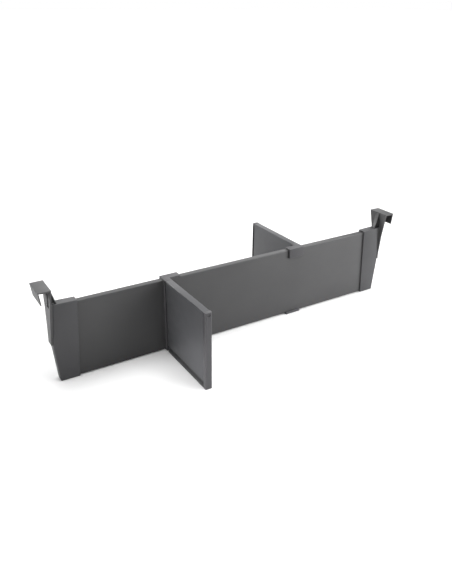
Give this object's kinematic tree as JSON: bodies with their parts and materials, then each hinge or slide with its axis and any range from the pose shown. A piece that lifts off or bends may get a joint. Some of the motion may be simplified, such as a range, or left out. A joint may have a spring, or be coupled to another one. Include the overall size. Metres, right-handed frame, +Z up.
{
  "type": "adjustable drawer partition",
  "caption": "Long hollow panel hung across a drawer on over-the-rail hooks, with cross dividers that clip over its top edge and slide along it.",
  "frame": {"origin": "on the drawer floor, under the middle of the partition", "axes": "+X along the long panel towards the right-hand hook, +Y towards the back divider, +Z up"},
  "size_m": [0.5346, 0.2196, 0.1258],
  "materials": {
    "panel": "satin, fine grain",
    "cap": "satin, fine grain",
    "hook": "satin, fine grain",
    "clip": "satin, fine grain",
    "board": "satin, fine grain",
    "rail": "matt",
    "pad": "matt"
  },
  "bodies": {
    "panel": {"long_panel": "panel"},
    "left_cap": {"end_cap_left": "cap"},
    "right_cap": {"end_cap_right": "cap"},
    "left_hook": {"hook_left": "hook"},
    "right_hook": {"hook_right": "hook"},
    "front_divider": {"front_clip": "clip", "front_grip_pad": "pad", "front_board": "board", "front_foot_rail": "rail", "front_post": "clip"},
    "back_divider": {"back_clip": "clip", "back_grip_pad": "pad", "back_board": "board", "back_foot_rail": "rail", "back_post": "clip"}
  },
  "joints": [
    {"name": "left_cap_slide", "type": "slide", "parent": "panel", "child": "left_cap", "axis": [-1, 0, 0], "range_m": [0, 0.012]},
    {"name": "right_cap_slide", "type": "slide", "parent": "panel", "child": "right_cap", "axis": [1, 0, 0], "range_m": [0, 0.012]},
    {"name": "left_hook_lift", "type": "slide", "parent": "left_cap", "child": "left_hook", "axis": [0.0506, 0, 0.9987], "range_m": [0, 0.02]},
    {"name": "right_hook_lift", "type": "slide", "parent": "right_cap", "child": "right_hook", "axis": [-0.0506, 0, 0.9987], "range_m": [0, 0.02]},
    {"name": "front_divider_slide", "type": "slide", "parent": "panel", "child": "front_divider", "axis": [1, 0, 0], "range_m": [-0.108, 0.085]},
    {"name": "back_divider_slide", "type": "slide", "parent": "panel", "child": "back_divider", "axis": [1, 0, 0], "range_m": [-0.0805, 0.113]}
  ]
}
